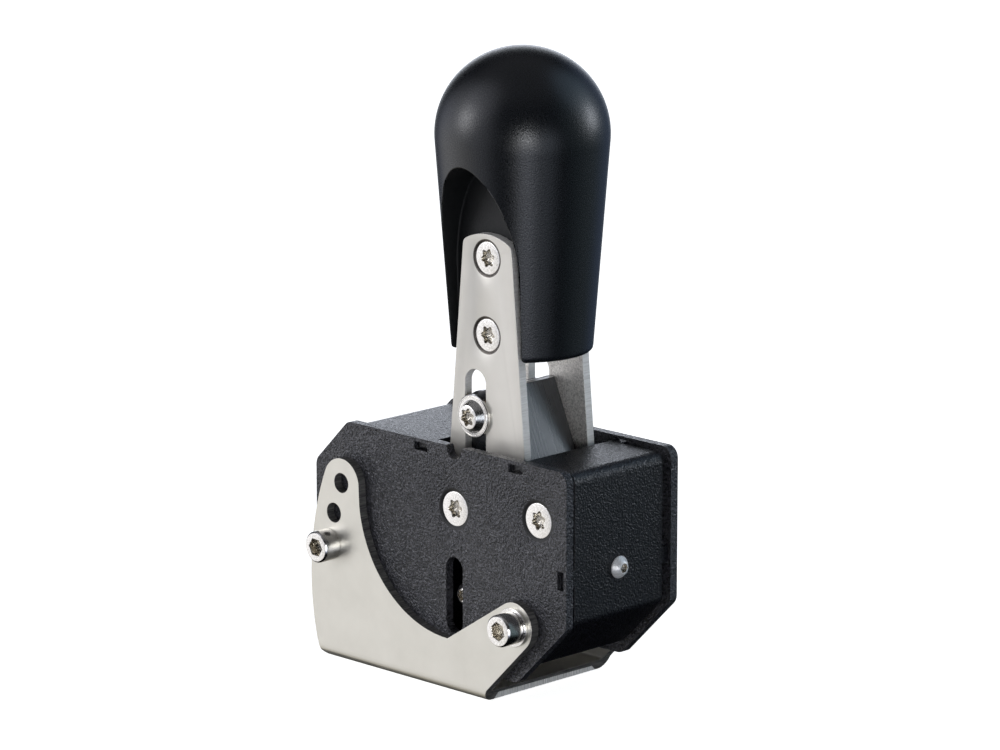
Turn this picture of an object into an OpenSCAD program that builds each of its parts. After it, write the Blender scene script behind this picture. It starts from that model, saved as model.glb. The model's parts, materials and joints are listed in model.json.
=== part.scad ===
// Gear shifter for sim racing: a two-plate box in a tilting bracket, a two-plate lever and a large handle.
// X runs along the box towards its pivot end, Y across it, Z up from the ground. Millimetres.

/* [Box] */
// Length of the side plates
box_l = 109; // [104:1:114]
// Height of the side plates' top edge
box_top = 77; // [76:0.5:80]
// Height of the side plates' bottom edge
box_bottom = 8; // [6:0.5:9]
// Width over both side plates
box_w = 48.7; // [48:0.1:56]
// Thickness of a side plate
plate_t = 3; // [3:0.25:4]
// Leg of the bevel at the top of the locking end
bevel_top = 14.5; // [8:0.5:18]
// Leg of the bevel at the bottom of the pivot end
bevel_pivot = 20.5; // [14:0.5:21]
// Leg of the bevel at the bottom of the locking end
bevel_lock = 10; // [8:0.5:11]
// Radius of the side plates' corners
plate_corner_r = 3.8; // [2:0.2:5]
// Width of the sighting notch in the top edge
notch_w = 6.1; // [4:0.1:8]
// Depth of the sighting notch
notch_deep = 3.9; // [3.5:0.1:5]
// Width of the vertical adjusting slot
window_w = 7.2; // [5:0.1:9]
// Height of the vertical adjusting slot
window_h = 24; // [20:0.5:26]
// Height of the middle of the vertical adjusting slot
window_z = 30.3; // [29:0.1:32]

/* [Wrap cover] */
// Thickness of the wrap cover's sheet
cover_t = 2; // [1.5:0.25:2.5]
// Width of the wrap cover
cover_w = 38.5; // [34:0.5:40]
// Distance from the side plates' outline in to the wrap cover
cover_inset = 1.4; // [1:0.1:2]
// Height of the wrap cover's bottom above the side plates' bottom edge
cover_lift = 4.9; // [4:0.1:6]
// Outer radius of the wrap cover's bends
cover_bend_r = 3.5; // [3:0.1:5]
// Length of the opening in the top for the lever
mouth_l = 38; // [37.4:0.2:42]
// Length of the cover's tabs
tab_l = 5.2; // [4:0.1:7]
// Distance from the lever's middle to the middle of the top tabs at the locking end
tab_lock = 19.6; // [19:0.1:23]
// Distance from the lever's middle to the middle of the top tabs at the pivot end
tab_pivot = 21.05; // [19.5:0.05:24]
// Height of the end stops and of the tabs beside them
stop_z = 43.4; // [42.5:0.1:45]

/* [Bracket] */
// Thickness of the bracket's sheet
bracket_t = 3; // [2:0.25:4]
// Outer radius of the bracket's bends
bracket_bend_r = 4; // [3.5:0.25:5]
// Gap between the tilt pivot's spacer and the cover's end wall
tilt_gap = 9.6; // [8.6:0.1:10.6]
// Height of the tilt pivot
tilt_z = 26.5; // [26:0.5:29]
// Gap between the lock nuts and the cover's end wall
lock_gap = 0.6; // [0.4:0.1:1.4]
// Angle between two holes of the arm
arm_pitch = 7.5; // [6:0.25:9]
// Radius of the arm's end round its top hole
arm_end_r = 7.8; // [7:0.1:9]
// Radius of the ear round the tilt pivot
ear_r = 7.6; // [7:0.1:9]
// Radius of the hollow cut between arm and ear
hollow_r = 39.1; // [38:0.1:41]
// Height of the lowest point of the hollow
hollow_z = 17.2; // [14:0.2:18]
// Diameter of the arm's holes
arm_hole_d = 6.3; // [6.2:0.1:7]
// Distance from the locking end of the box in to the end of the bracket's floor
floor_lock_in = 6.4; // [5.5:0.1:8.5]
// Distance from the tilt pivot in to the other end of the bracket's floor
floor_pivot_in = 13.5; // [9.5:0.5:14.5]
// Spacing of the mounting holes along the box
mount_x = 45; // [35:1:50]
// Spacing of the mounting holes across the box
mount_y = 30; // [20:1:34]
// Diameter of the mounting holes
mount_d = 6.5; // [5:0.1:7]

/* [Lever] */
// Distance of the lever's axle from the middle of the box
pivot_x = 7; // [5:0.5:8]
// Height of the lever's axle
pivot_z = 57.5; // [57:0.1:59]
// Distance of the lever's middle from the axle, towards the pivot end
lever_shift = 5; // [4:0.1:5.5]
// Width of the yoke between the lever plates
yoke_w = 24.5; // [23:0.1:25]
// Thickness of a lever plate
lever_t = 3; // [2.5:0.25:3.2]
// Height of the top of the lever plates
lever_top = 142.2; // [140:0.2:150]
// Radius of the lever plates' top edge
lever_top_r = 20; // [17:0.5:24]
// Corner radius of the lever plates
lever_corner_r = 2.5; // [1.5:0.1:3.5]
// Height of the foot of the lever plates
lever_foot = 52; // [51.4:0.1:53]
// Width of the lever plates at the foot
lever_w_foot = 36.2; // [35:0.1:36.4]
// Width of the lever plates just under the top
lever_w_top = 21; // [19:0.1:23]
// Width of the slot in the lever plates
slot_w = 8.8; // [8.7:0.05:9]
// Height of the top end of the slot
slot_top = 99.6; // [99:0.1:101]
// Diameter of the axle
axle_d = 8.5; // [8:0.05:8.6]
// Swing of the lever to each side, in degrees
swing = 7.5; // [6:0.25:7.5]

/* [Yoke and height clamp] */
// Thickness of the yoke's sheet
yoke_t = 2; // [1.5:0.25:2.5]
// Outer radius of the yoke's bends
yoke_bend_r = 2.5; // [2.5:0.1:3.5]
// Height of the clamp screws above the axle
clamp_rise = 27.7; // [27:0.1:28]
// Radius of the yoke's ears round the clamp screws
clamp_ear_r = 7.3; // [7:0.1:8]
// Radius of the yoke's ears round the axle
hub_ear_r = 11; // [10:0.1:11.5]
// Distance of the web's top edge from the axle, towards the pivot end
web_shift = 8.2; // [8:0.1:9]
// Height of the web's top edge above the axle
web_rise = 36.9; // [36:0.1:37]
// Height of the web's bottom edge above the axle
web_foot = 2.5; // [2:0.5:6]
// Lean of the web, in degrees from upright
web_lean = 23.3; // [20:0.1:23.5]
// Diameter of the clamp rod
clamp_rod_d = 14; // [12:0.5:14]
// Diameter of the guide bushes that slide in the lever's slots
guide_bush_d = 8.6; // [8.2:0.05:8.6]
// Diameter of the clamp screws' flange
flange_d = 13.4; // [12:0.1:14]
// Thickness of the clamp screws' flange
flange_t = 1.2; // [1:0.1:1.5]

/* [Handle] */
// Height of the handle's bottom
grip_bottom = 104.6; // [103.8:0.1:107]
// Radius of the handle at its bottom
grip_r = 21.7; // [20.5:0.1:23]
// Radius of the handle's dome
dome_r = 26.7; // [25.5:0.1:28]
// Height of the middle of the dome
dome_z = 171.2; // [168:0.2:176]
// Half width of the side pockets at the bottom of the handle
pocket_foot = 14.6; // [14.2:0.1:15.5]
// Half width of the side pockets at the spring of their arch
pocket_half = 15.7; // [15:0.1:16.5]
// Height of the spring of the pockets' arch
pocket_spring = 131.7; // [128:0.1:134]
// Height of the pockets' top
pocket_top = 163.7; // [160:0.1:166]
// Leg of the chamfer on the handle's bottom edge
grip_chamfer = 0.8; // [0.4:0.1:1.6]
// Height of the upper handle screws
handle_screw_high = 134.8; // [130:0.1:135.5]
// Height of the lower handle screws
handle_screw_low = 111; // [110.5:0.1:116]
// Diameter of the threaded sleeves in the handle
insert_d = 10; // [8:0.5:12]

/* [Force adjuster] */
// Width of the detent blade along the box
blade_l = 9; // [7:0.5:10]
// Width of the detent blade across the box
blade_w = 10; // [8:0.5:11]
// Length of the detent blade below the axle
blade_drop = 36; // [34:0.5:37]
// Height of the magnet carriage's screws at rest
carriage_z = 29.5; // [29:0.1:30]
// Travel of the magnet carriage to each side
carriage_travel = 7; // [5:0.5:7]
// Air gap between the blade and the magnets
magnet_gap = 0.6; // [0.4:0.05:0.8]
// Diameter of the magnets
magnet_d = 8; // [6:0.5:8.5]
// Thickness of the magnets
magnet_t = 3.5; // [2:0.25:4]
// Thickness of the guide bracket's sheet
guide_t = 2; // [1.5:0.25:2]
// Height of the guide bracket's walls above its foot
guide_h = 31; // [28:0.5:32]
// Diameter of the end stops' posts
post_d = 10; // [8:0.5:10]
// Length of the rubber buffers
buffer_l = 5; // [4:0.5:6]

/* [Sensor] */
// Distance from the middle of the axle to the end of the sensor board
board_clear = 13; // [13:0.5:18]
// Width of the sensor board
board_w = 24; // [20:0.5:26]
// Thickness of the sensor board
board_t = 1.6; // [1.2:0.2:2]
// Height of the board's spacers
board_spacer_h = 5.1; // [4.8:0.1:6]
// Width of the data port
port_w = 9; // [8:0.1:10]
// Height of the data port
port_h = 3.3; // [3:0.1:4]

/* [Screws] */
// Thread diameter of the large screws
large_d = 6; // [5:0.1:6]
// Thread diameter of the small screws
small_d = 4; // [3:0.1:4.2]
// Head diameter of the tilt screws
cap_d = 10; // [9.5:0.1:11]
// Head height of the tilt screws
cap_h = 6; // [5:0.1:6.5]
// Head diameter of the screws in the side plates
plate_head_d = 11.1; // [10.4:0.1:11.2]
// Head diameter of the handle's screws
lever_head_d = 10.3; // [10:0.1:10.8]
// Head diameter of the small button screws
button_d = 7.6; // [7:0.1:8]
// Head height of the small button screws
button_h = 2.2; // [1.8:0.1:2.4]
// Head diameter of the end wall's screws
end_head_d = 7; // [6.4:0.1:7.6]
// Diameter of the washers under the tilt pivot's screws
washer_d = 12; // [11:0.1:13]
// Thickness of those washers
washer_t = 0.9; // [0.6:0.1:1.2]

/* [Hidden] */
// Number of sides that stand for a small and for a large circle
small_fn = 48;
large_fn = 128;
// Clearance between a thread and its bore, and between parts pushed into each other
fit = 0.05;
// Clearance all round a shaft that turns in its bush
run = 0.03;
// Clearance all round a screw that passes through a hole
pass = 0.2;
// Gap between a screw's tip and the bottom of its bore
tip_gap = 1;
// Depth of a countersunk head under the sheet's face
head_deep = 0.45;
// What a cut reaches past the face that it cuts
over = 1;

plate_in = box_w / 2 - plate_t;
plate_out = box_w / 2;
flange_gap = 0.05;
flange_in = plate_out + flange_gap;
flange_out = flange_in + bracket_t;
lever_pivot = [pivot_x, pivot_z];
lever_x = pivot_x + lever_shift;
clamp_at = [pivot_x, pivot_z + clamp_rise];
yoke_out = yoke_w / 2;
yoke_in = yoke_out - yoke_t;
lever_out = yoke_out + lever_t;

cover_bottom = box_bottom + cover_lift;
cover_floor = cover_bottom + cover_t;
cover_top = box_top - cover_inset;
cover_end = box_l / 2 - cover_inset;
cover_wall = cover_end - cover_t;
tab_short = 1.5;
tab_root = 1;
tab_gap = 0.3;
bottom_tab_x = box_l / 2 - 32.5;

// Spacers and nuts keep their distance from the cover's end walls
spacer_d = 10;
spacer_gap = 3.6;
spacer_at = [cover_wall - spacer_gap - spacer_d / 2, pivot_z + 2.8];
tilt_spacer_d = 12;
tilt_pivot = [cover_wall - tilt_gap - tilt_spacer_d / 2, tilt_z];
lock_nut_d = 10;
lock_collar_d = 8;
lock_nut_l = 6;
thread_deep = 12;
arm_reach = (tilt_pivot[0] + cover_wall - lock_gap - lock_nut_d / 2) / cos(arm_pitch);
floor_lock = box_l / 2 - floor_lock_in;
floor_pivot = tilt_pivot[0] - floor_pivot_in;

// Hole of the arm, counted from the lowest, on its circle round the tilt pivot
function arm_hole(i) = tilt_pivot + arm_reach * [-cos(arm_pitch * (i + 1)), sin(arm_pitch * (i + 1))];
lock_at = arm_hole(0);
hollow_at = [pivot_x, hollow_z + hollow_r];

// Guide bracket: button heads between its walls and the side plates
button_gap = 0.25;
guide_out = plate_in - button_h - button_gap;
guide_in = guide_out - guide_t;
guide_wall_l = 25;
guide_foot_lock = 17;
guide_foot_pivot = 24;
guide_screw_lock = 12.5;
guide_screw_pivot = 19;
guide_floor = cover_floor + guide_t;

// Magnet carriage: cheeks beside the blade, joined by a bridge beyond its swing
cheek_in = blade_w / 2 + magnet_gap;
cheek_out = yoke_out - 0.75;
cheek_half = 5;
cheek_lock = 6;
blade_swing = blade_l / 2 * cos(swing) + blade_drop * sin(swing);
bridge_in = pivot_x + blade_swing + 1;
bridge_t = 3.7;
bridge_h = 6.5;
boss_d = 9;
magnet_backing = 1;

// End stops: a dome of rubber that the blade's face meets at the end of the swing
stop_drop = pivot_z - stop_z;
stop_gap = 0.3;
buffer_r = 6;
blade_face = blade_l / 2 / cos(swing) + stop_drop * tan(swing);
stop_tip = blade_face + (buffer_r + stop_gap) / cos(swing) - buffer_r;
stem_d = 4;
stem_l = 4;
stop_bore = 10;

// Lever plates: height over which they taper, and height of their top arc's middle
taper_h = 85;
lever_slope = (lever_w_foot - lever_w_top) / 2 / taper_h;
top_middle = lever_top - lever_top_r;

// Detent arm
hub_r = 10;
bush_d = 12;
bush_l = 8;
arm_lug_r = 6.5;
arm_screw_rise = 12;
arm_head_d = 6.2;
arm_bore = 7;

board_z = cover_floor + board_spacer_h;
sensor_z = board_z + board_t + 2.5;
board_from = -cover_wall + 1.1;
board_l = pivot_x - board_clear - board_from;
board_hole_y = board_w / 2 - 3;
board_holes = [10, board_l - 8];
board_spacer_d = 5;
board_spacer_floor = 1;
board_screw_d = 3;
board_head_d = 5.5;
magnet_small_d = 4;
magnet_small_t = 2.5;

// Depth to which the handle's screws reach into their threaded sleeves
sleeve_deep = 10;

// Plane geometry

function unit(v) = v / norm(v);

function turned(v, a) = [v[0] * cos(a) - v[1] * sin(a), v[0] * sin(a) + v[1] * cos(a)];

// Where the line from p touches the circle round c, on its left (side 1) or on its right (side -1)
function touch(p, c, r, side) =
    p + turned(unit(c - p), side * asin(r / norm(c - p))) * sqrt(pow(norm(c - p), 2) - r * r);

// What a round corner leaves out of a sharp one: the corner outside the arc that touches both its legs
module corner_cut(before, corner, after, r) {
    ways = [unit(before - corner), unit(after - corner)];
    half = acos(ways[0] * ways[1]) / 2;
    middle = corner + unit(ways[0] + ways[1]) * r / sin(half);
    setback = r / tan(half);
    difference() {
        polygon([middle, corner + ways[0] * setback, corner, corner + ways[1] * setback]);
        translate(middle)
            circle(r, $fn = r > 10 ? large_fn : small_fn);
    }
}

// Convex outline with round corners
module rounded(points, r) {
    n = len(points);
    difference() {
        polygon(points);
        for (i = [0:n - 1])
            corner_cut(points[(i + n - 1) % n], points[i], points[(i + 1) % n], r);
    }
}

// Upright slot with round ends, its middle at the origin
module slot(w, h) {
    square([w, h - w], center = true);
    for (s = [-1, 1])
        translate([0, s * (h - w) / 2])
            circle(d = w, $fn = small_fn);
}

// Outline of the box, drawn in by inset on its ends, top and bevels, with its bottom edge at bottom
function box_outline(inset, bottom) =
    let (end = box_l / 2 - inset,
         top = box_top - inset,
         slant = inset * sqrt(2),
         pivot_line = box_l / 2 - bevel_pivot - box_bottom - slant,
         lock_line = bevel_lock + box_bottom - box_l / 2 + slant,
         top_line = box_top - bevel_top + box_l / 2 - slant)
    [
        [lock_line - bottom, bottom],
        [-end, lock_line + end],
        [-end, top_line - end],
        [top - top_line, top],
        [end, top],
        [end, end - pivot_line],
        [pivot_line + bottom, bottom]
    ];

// Placing

// Sheet across Y on the near side, from its inner face outwards
module near_sheet(inner, t) {
    translate([0, -inner, 0])
        rotate([90, 0, 0])
            linear_extrude(t)
                children();
}

// Outline in X and Z, extruded over a width across Y
module across(w) {
    translate([0, w / 2, 0])
        rotate([90, 0, 0])
            linear_extrude(w)
                children();
}

// Outline in Y and Z, extruded along X
module along(from, to) {
    translate([from, 0, 0])
        rotate([90, 0, 90])
            linear_extrude(to - from)
                children();
}

// Fastener on the near side at a point of the X and Z plane, its seat at a distance from the middle
module near_at(p, seat) {
    translate([p[0], -seat, p[1]])
        rotate([90, 0, 0])
            children();
}

module both_sides() {
    children();
    mirror([0, 1, 0])
        children();
}

// Round bar or hole across Y
module bar(p, d, w, fn = small_fn) {
    translate([p[0], 0, p[1]])
        rotate([90, 0, 0])
            cylinder(h = w, d = d, center = true, $fn = fn);
}

// Channel of bent sheet in Y and Z, open at the top: outer half width, height, sheet and outer radius
module channel(half, h, t, r) {
    difference() {
        union() {
            translate([-half, r])
                square([2 * half, h - r]);
            translate([r - half, 0])
                square([2 * (half - r), r + fit]);
            for (s = [-1, 1])
                translate([s * (half - r), r])
                    circle(r, $fn = small_fn);
        }
        translate([t - half, r])
            square([2 * (half - t), h]);
        translate([r - half, t])
            square([2 * (half - r), h]);
        for (s = [-1, 1])
            translate([s * (half - r), r])
                circle(r - t, $fn = small_fn);
    }
}

// Screws, each with its seat at z = 0 and its head above

module hex_socket(top, width, deep) {
    translate([0, 0, top - deep])
        cylinder(h = deep + over, d = width / cos(30), $fn = 6);
}

module shank(d, l) {
    translate([0, 0, -l])
        cylinder(h = l + fit, d = d, $fn = small_fn);
}

module cap_screw(l) {
    difference() {
        cylinder(h = cap_h, d = cap_d, $fn = small_fn);
        hex_socket(cap_h, cap_d / 2, cap_h / 2);
    }
    shank(large_d, l);
}

// Round head with a flat face: radius at the rim, radius of the face, height of the rim and of the head
module dome_head(rim_r, face_r, rim_h, h) {
    middle = (rim_r * rim_r - face_r * face_r + rim_h * rim_h - h * h) / (2 * (rim_h - h));
    intersection() {
        cylinder(h = h, r = rim_r, $fn = small_fn);
        translate([0, 0, middle])
            sphere(norm([rim_r, rim_h - middle]), $fn = small_fn);
    }
}

module button_screw(head_d, d, l) {
    difference() {
        dome_head(head_d / 2, head_d / 4, 0.4, button_h);
        hex_socket(button_h, head_d / 3, button_h / 2);
    }
    shank(d, l);
}

// Countersunk screw, sunk below the face by head_deep: its seat is the face of the sheet
module sunk_screw(head_d, d, l) {
    cone = (head_d - d) / 2;
    difference() {
        union() {
            translate([0, 0, -head_deep - cone])
                cylinder(h = cone, d1 = d, d2 = head_d, $fn = small_fn);
            translate([0, 0, -l])
                cylinder(h = l - head_deep - cone + fit, d = d, $fn = small_fn);
        }
        hex_socket(-head_deep, d * 0.7, cone);
    }
}

// Hole for a countersunk screw, entered from the face at z = 0
module sunk_hole(head_d, d, deep) {
    mouth = head_d + 2 * (head_deep + fit);
    cone = (mouth - d) / 2;
    translate([0, 0, -cone])
        cylinder(h = cone, d1 = d, d2 = mouth, $fn = small_fn);
    translate([0, 0, -deep - over])
        cylinder(h = deep + 2 * over, d = d, $fn = small_fn);
}

// Bracket

// Arm and ear of the bracket, seen from the side
module bracket_side() {
    heel = 3.1;
    foot_l = 5;
    corner = [hollow_at[0], hollow_z];
    under = tilt_pivot + ear_r * [1, -1] / sqrt(2);
    top_way = unit(arm_hole(2) - tilt_pivot);
    difference() {
        intersection() {
            translate(tilt_pivot)
                circle(arm_reach + arm_end_r, $fn = large_fn);
            polygon([
                [-floor_lock, 0],
                [-floor_lock - 0.75 * heel, 0.6 * heel],
                [-floor_lock - heel, 1.6 * heel],
                [-box_l, 1.6 * heel],
                tilt_pivot + top_way * 1.3 * arm_reach,
                tilt_pivot + top_way * 0.75 * arm_reach,
                corner,
                [corner[0], 0]
            ]);
        }
        translate(hollow_at)
            circle(hollow_r, $fn = large_fn);
    }
    translate(arm_hole(2))
        circle(arm_end_r, $fn = small_fn);
    polygon([
        [corner[0] - foot_l, 0],
        corner - [foot_l, 0],
        corner,
        touch(corner, tilt_pivot, ear_r, 1),
        tilt_pivot,
        under,
        [under[0] - under[1], 0]
    ]);
    translate(tilt_pivot)
        circle(ear_r, $fn = small_fn);
}

// Floor of the bracket with its clipped corners at the pivot end
module bracket_floor() {
    half = flange_in - 1;
    clip = 3.4;
    polygon([
        [0, -half],
        [floor_pivot - clip, -half],
        [floor_pivot, clip - half],
        [floor_pivot, half - clip],
        [floor_pivot - clip, half],
        [0, half]
    ]);
}

module base_bracket() {
    middle_x = (floor_pivot - floor_lock) / 2;
    color("silver")
        difference() {
            union() {
                intersection() {
                    along(-box_l, box_l)
                        channel(flange_out, 2 * box_top, bracket_t, bracket_bend_r);
                    across(2 * flange_out + over)
                        bracket_side();
                }
                linear_extrude(bracket_t)
                    bracket_floor();
            }
            for (i = [0:2])
                bar(arm_hole(i), arm_hole_d, 2 * flange_out + over);
            bar(tilt_pivot, large_d + pass, 2 * flange_out + over);
            for (sx = [-1, 1], sy = [-1, 1])
                translate([middle_x + sx * mount_x / 2, sy * mount_y / 2, -over])
                    cylinder(h = bracket_t + 2 * over, d = mount_d, $fn = small_fn);
        }
}

// Box

// Middles of the cover's tabs that stand through the side plates, and whether they stand upright
tabs = [
    [lever_x - tab_lock, cover_top - cover_t / 2, false],
    [lever_x + tab_pivot, cover_top - cover_t / 2, false],
    [-cover_end + cover_t / 2, stop_z, true],
    [cover_end - cover_t / 2, stop_z, true],
    [-bottom_tab_x, cover_bottom + cover_t / 2, false],
    [bottom_tab_x, cover_bottom + cover_t / 2, false]
];

module tab_outlines(gap) {
    for (tab = tabs)
        translate([tab[0], tab[1]])
            square((tab[2] ? [cover_t, tab_l] : [tab_l, cover_t]) + [2, 2] * gap, center = true);
}

// Notch in the top edge, with rounded lips
module sighting_notch() {
    lip = 1;
    bottom = box_top - notch_deep;
    translate([pivot_x, bottom + notch_w / 2])
        circle(d = notch_w, $fn = small_fn);
    translate([pivot_x - notch_w / 2, bottom + notch_w / 2])
        square([notch_w, notch_deep]);
    for (s = [-1, 1])
        translate([pivot_x + s * (notch_w / 2 + lip / 2), box_top - lip / 2])
            difference() {
                square(lip, center = true);
                translate([s * lip / 2, -lip / 2])
                    circle(lip, $fn = small_fn);
            }
}

module side_plate() {
    color("#2b2b2d")
        difference() {
            near_sheet(plate_in, plate_t)
                difference() {
                    rounded(box_outline(0, box_bottom), plate_corner_r);
                    tab_outlines(tab_gap);
                    sighting_notch();
                    translate([pivot_x, window_z])
                        slot(window_w, window_h);
                    translate(tilt_pivot)
                        circle(d = large_d + 2 * pass, $fn = small_fn);
                    translate(lock_at)
                        circle(d = lock_collar_d, $fn = small_fn);
                }
            for (p = [lever_pivot, spacer_at])
                near_at(p, plate_out)
                    sunk_hole(plate_head_d, large_d + 2 * pass, plate_t);
        }
}

module side_plate_near() {
    side_plate();
}

module side_plate_far() {
    mirror([0, 1, 0])
        side_plate();
}

module wrap_cover() {
    inner_r = cover_bend_r - cover_t;
    color("#1f1f21")
        difference() {
            union() {
                across(cover_w)
                    difference() {
                        rounded(box_outline(cover_inset, cover_bottom), cover_bend_r);
                        rounded(box_outline(cover_inset + cover_t, cover_floor), inner_r);
                        translate([lever_x - mouth_l / 2, cover_top - cover_t - over])
                            square([mouth_l, cover_t + 2 * over]);
                    }
                both_sides()
                    near_sheet(cover_w / 2 - tab_root, plate_out - tab_short - cover_w / 2 + tab_root)
                        tab_outlines(0);
            }
            for (s = [-1, 1])
                translate([s * (cover_wall + cover_t / 2), 0, stop_z])
                    rotate([0, 90, 0])
                        cylinder(h = cover_t + 2 * over, d = small_d + pass, center = true, $fn = small_fn);
            for (x = [-guide_screw_lock, guide_screw_pivot])
                translate([pivot_x + x, 0, cover_bottom - over])
                    cylinder(h = cover_t + 2 * over, d = small_d + 2 * fit, $fn = small_fn);
            along(-cover_end - over, -cover_wall + over)
                translate([0, board_z + board_t + port_h / 2])
                    square([port_w + 4 * pass, port_h + 4 * pass], center = true);
        }
}

module cover_spacer() {
    color("gray")
        difference() {
            bar(spacer_at, spacer_d, 2 * plate_in);
            both_sides()
                near_at(spacer_at, plate_in - thread_deep)
                    cylinder(h = thread_deep + over, d = large_d + 2 * fit, $fn = small_fn);
        }
}

module tilt_pivot_spacer() {
    color("gray")
        difference() {
            bar(tilt_pivot, tilt_spacer_d, 2 * plate_in);
            both_sides()
                near_at(tilt_pivot, plate_in - thread_deep)
                    cylinder(h = thread_deep + over, d = large_d + 2 * fit, $fn = small_fn);
        }
}

// Nut with a collar that is pressed into the side plate
module lock_nut() {
    difference() {
        union() {
            near_at(lock_at, plate_in - lock_nut_l)
                cylinder(h = lock_nut_l, d = lock_nut_d, $fn = small_fn);
            near_at(lock_at, plate_in - fit)
                cylinder(h = plate_t - pass, d = lock_collar_d - 2 * fit, $fn = small_fn);
        }
        bar(lock_at, large_d + 2 * fit, box_w);
    }
}

module tilt_lock_nuts() {
    color("silver")
        both_sides()
            lock_nut();
}

module lever_axle() {
    color("gray")
        difference() {
            bar(lever_pivot, axle_d, 2 * plate_in);
            both_sides()
                near_at(lever_pivot, plate_in - thread_deep)
                    cylinder(h = thread_deep + over, d = large_d + 2 * fit, $fn = small_fn);
        }
}

module plate_screws() {
    color("#c8c8cc")
        both_sides()
            for (p = [lever_pivot, spacer_at])
                near_at(p, plate_out)
                    sunk_screw(plate_head_d, large_d, plate_t + thread_deep - tip_gap);
}

module tilt_pivot_screws() {
    color("#c8c8cc")
        both_sides()
            near_at(tilt_pivot, flange_out + washer_t)
                cap_screw(flange_out + washer_t - plate_in + thread_deep - tip_gap);
}

module tilt_pivot_washers() {
    color("#c8c8cc")
        both_sides()
            near_at(tilt_pivot, flange_out)
                difference() {
                    cylinder(h = washer_t, d = washer_d, $fn = small_fn);
                    translate([0, 0, -over])
                        cylinder(h = washer_t + 2 * over, d = large_d + pass, $fn = small_fn);
                }
}

module tilt_lock_screws() {
    color("#c8c8cc")
        both_sides()
            near_at(lock_at, flange_out)
                cap_screw(flange_out - plate_in + lock_nut_l);
}

// Force adjuster

// Sheet channel on the cover's floor, with slots in which the carriage's screws slide
module guide_bracket() {
    color("#2a2a2a")
        difference() {
            intersection() {
                along(-box_l, box_l)
                    translate([0, cover_floor])
                        channel(guide_out, guide_h + guide_t, guide_t, guide_t + 1);
                union() {
                    translate([pivot_x - guide_foot_lock, -box_w, cover_floor])
                        cube([guide_foot_lock + guide_foot_pivot, 2 * box_w, guide_t]);
                    translate([pivot_x - guide_wall_l / 2, -box_w, cover_floor])
                        cube([guide_wall_l, 2 * box_w, guide_h + guide_t]);
                }
            }
            across(box_w)
                translate([pivot_x, carriage_z])
                    slot(small_d + 2 * pass, 2 * carriage_travel + small_d + 4 * pass);
            for (x = [-guide_screw_lock, guide_screw_pivot])
                translate([pivot_x + x, 0, cover_floor - over])
                    cylinder(h = guide_t + 2 * over, d = small_d + 2 * pass, $fn = small_fn);
        }
}

module guide_bracket_screws() {
    color("#333333")
        for (x = [-guide_screw_lock, guide_screw_pivot])
            translate([pivot_x + x, 0, guide_floor])
                button_screw(button_d, small_d, guide_t + cover_t);
}

module magnet_carriage() {
    bridge_out = bridge_in + bridge_t;
    color("#3a3a3c")
        difference() {
            union() {
                both_sides()
                    near_sheet(cheek_in, cheek_out - cheek_in)
                        translate([pivot_x - cheek_lock, carriage_z - cheek_half])
                            square([bridge_out - pivot_x + cheek_lock, 2 * cheek_half]);
                translate([bridge_in, -cheek_out, carriage_z - cheek_half])
                    cube([bridge_t, 2 * cheek_out, bridge_h]);
                both_sides()
                    near_at([pivot_x, carriage_z], cheek_out - fit)
                        cylinder(h = guide_in - cheek_out, d = boss_d, $fn = small_fn);
            }
            translate([bridge_in - over, -box_w / 2, carriage_z - cheek_half + bridge_h])
                cube([bridge_t + 2 * over, box_w, 2 * cheek_half]);
            both_sides()
                near_at([pivot_x, carriage_z], cheek_in - over)
                    cylinder(h = magnet_t + over, d = magnet_d + 2 * fit, $fn = small_fn);
            both_sides()
                near_at([pivot_x, carriage_z], cheek_in + magnet_t + magnet_backing)
                    cylinder(h = guide_in, d = small_d + 2 * fit, $fn = small_fn);
        }
}

module carriage_magnets() {
    color("silver")
        both_sides()
            near_at([pivot_x, carriage_z], cheek_in)
                cylinder(h = magnet_t, d = magnet_d, $fn = small_fn);
}

module carriage_screws() {
    color("#c8c8cc")
        both_sides()
            near_at([pivot_x, carriage_z], guide_out)
                button_screw(button_d, small_d, guide_out - cheek_in - magnet_t - magnet_backing - tip_gap);
}

// End stops, at one end of the box or at the other

module stop_post(side) {
    tip = pivot_x + side * (stop_tip + buffer_l);
    from = min(tip, side * cover_wall);
    to = max(tip, side * cover_wall);
    difference() {
        translate([from, 0, stop_z])
            rotate([0, 90, 0])
                cylinder(h = to - from, d = post_d, $fn = small_fn);
        translate([side * (cover_wall - stop_bore / 2), 0, stop_z])
            rotate([0, 90, 0])
                cylinder(h = stop_bore + over, d = small_d + 2 * fit, center = true, $fn = small_fn);
        translate([tip, 0, stop_z])
            rotate([0, 90, 0])
                cylinder(h = 2 * stem_l + over, d = stem_d + 2 * fit, center = true, $fn = small_fn);
    }
}

module stop_posts() {
    color("silver")
        for (side = [-1, 1])
            stop_post(side);
}

module stop_buffers() {
    color("#1c1c1c")
        for (side = [-1, 1])
            translate([pivot_x + side * (stop_tip + buffer_l), 0, stop_z])
                rotate([0, -side * 90, 0]) {
                    intersection() {
                        cylinder(h = buffer_l, d = post_d, $fn = small_fn);
                        translate([0, 0, buffer_l - buffer_r])
                            sphere(buffer_r, $fn = small_fn);
                    }
                    translate([0, 0, -stem_l])
                        cylinder(h = stem_l + fit, d = stem_d, $fn = small_fn);
                }
}

module stop_screws() {
    color("#c8c8cc")
        for (side = [-1, 1])
            translate([side * cover_end, 0, stop_z])
                rotate([0, side * 90, 0])
                    button_screw(end_head_d, small_d, cover_t + stop_bore - tip_gap);
}

// Sensor

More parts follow.
